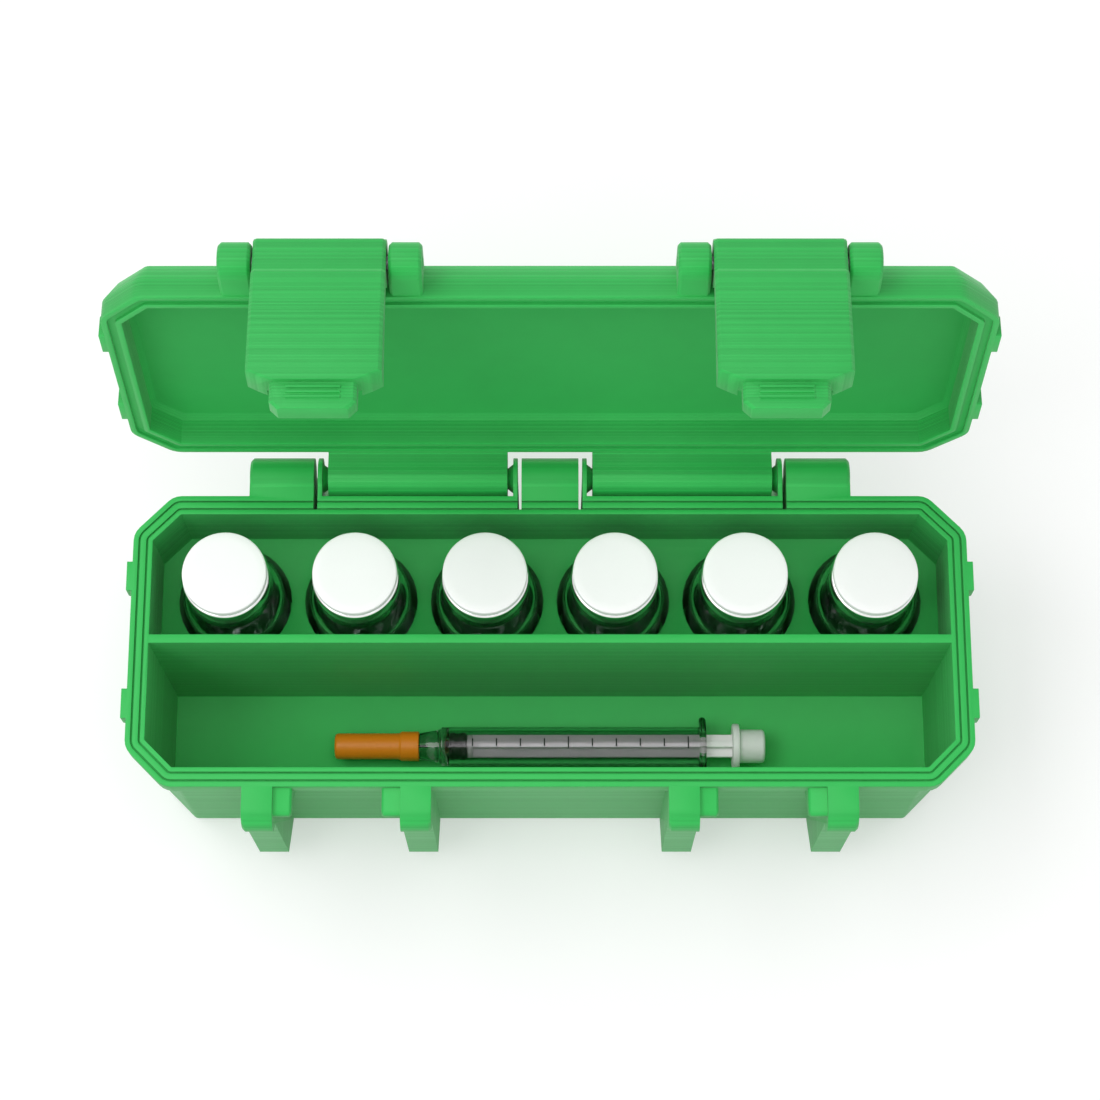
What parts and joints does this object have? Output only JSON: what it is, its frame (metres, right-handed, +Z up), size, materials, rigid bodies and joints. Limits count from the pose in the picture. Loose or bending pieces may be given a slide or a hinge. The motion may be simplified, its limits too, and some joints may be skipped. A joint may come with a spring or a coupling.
{
  "type": "vial case",
  "caption": "Green printed vial case with a hinged lid standing open, latches, a row of capped injection vials in a rack and a capped insulin syringe in a tray.",
  "frame": {"origin": "centre of the flat underside of the base", "axes": "+Z up out of the open case, +X to the right along the case, -Y towards the latches at the front"},
  "size_m": [0.1308, 0.0743, 0.0931],
  "materials": {
    "green_print": "fused layers, satin",
    "clear_glass": "clear",
    "clear_plastic": "clear moulded",
    "grey_rubber": "matte",
    "black_rubber": "matte",
    "crimp_metal": "satin",
    "steel": "drawn",
    "white_plastic": "moulded",
    "pale_plastic": "moulded",
    "orange_plastic": "moulded"
  },
  "bodies": {
    "base": {"base_shell": "green_print"},
    "lid": {"lid_shell": "green_print", "latch_pin_left": "steel", "latch_pin_right": "steel"},
    "latch_left": {"latch_left": "green_print"},
    "latch_right": {"latch_right": "green_print"},
    "vial_1": {"vial_1_glass": "clear_glass", "vial_1_stopper": "grey_rubber", "vial_1_crimp_collar": "crimp_metal", "vial_1_flip_cap": "white_plastic"},
    "vial_2": {"vial_2_glass": "clear_glass", "vial_2_stopper": "grey_rubber", "vial_2_crimp_collar": "crimp_metal", "vial_2_flip_cap": "white_plastic"},
    "vial_3": {"vial_3_glass": "clear_glass", "vial_3_stopper": "grey_rubber", "vial_3_crimp_collar": "crimp_metal", "vial_3_flip_cap": "white_plastic"},
    "vial_4": {"vial_4_glass": "clear_glass", "vial_4_stopper": "grey_rubber", "vial_4_crimp_collar": "crimp_metal", "vial_4_flip_cap": "white_plastic"},
    "vial_5": {"vial_5_glass": "clear_glass", "vial_5_stopper": "grey_rubber", "vial_5_crimp_collar": "crimp_metal", "vial_5_flip_cap": "white_plastic"},
    "vial_6": {"vial_6_glass": "clear_glass", "vial_6_stopper": "grey_rubber", "vial_6_crimp_collar": "crimp_metal", "vial_6_flip_cap": "white_plastic"},
    "syringe": {"syringe_barrel": "clear_plastic", "syringe_needle": "steel"},
    "plunger": {"syringe_plunger": "pale_plastic", "syringe_piston": "black_rubber"},
    "needle_cap": {"syringe_needle_cap": "orange_plastic"}
  },
  "joints": [
    {"name": "lid_hinge", "type": "hinge", "parent": "base", "child": "lid", "pos_m": [0, 0.02665, 0.034], "axis": [-1, 0, 0], "range_deg": [-99.7, 80]},
    {"name": "latch_left_hinge", "type": "hinge", "parent": "lid", "child": "latch_left", "pos_m": [-0.0323, 0.04162, 0.08567], "axis": [-1, 0, 0], "range_deg": [0, 120]},
    {"name": "latch_right_hinge", "type": "hinge", "parent": "lid", "child": "latch_right", "pos_m": [0.0323, 0.04162, 0.08567], "axis": [-1, 0, 0], "range_deg": [0, 120]},
    {"name": "vial_1_lift", "type": "slide", "parent": "base", "child": "vial_1", "axis": [0, 0, 1], "range_m": [0, 0.04]},
    {"name": "vial_2_lift", "type": "slide", "parent": "base", "child": "vial_2", "axis": [0, 0, 1], "range_m": [0, 0.04]},
    {"name": "vial_3_lift", "type": "slide", "parent": "base", "child": "vial_3", "axis": [0, 0, 1], "range_m": [0, 0.04]},
    {"name": "vial_4_lift", "type": "slide", "parent": "base", "child": "vial_4", "axis": [0, 0, 1], "range_m": [0, 0.04]},
    {"name": "vial_5_lift", "type": "slide", "parent": "base", "child": "vial_5", "axis": [0, 0, 1], "range_m": [0, 0.04]},
    {"name": "vial_6_lift", "type": "slide", "parent": "base", "child": "vial_6", "axis": [0, 0, 1], "range_m": [0, 0.04]},
    {"name": "syringe_lift", "type": "slide", "parent": "base", "child": "syringe", "axis": [0, 0, 1], "range_m": [0, 0.04]},
    {"name": "plunger_draw", "type": "slide", "parent": "syringe", "child": "plunger", "axis": [1, 0, 0], "range_m": [0, 0.026]},
    {"name": "needle_cap_pull", "type": "slide", "parent": "syringe", "child": "needle_cap", "axis": [-1, 0, 0], "range_m": [0, 0.02]}
  ]
}
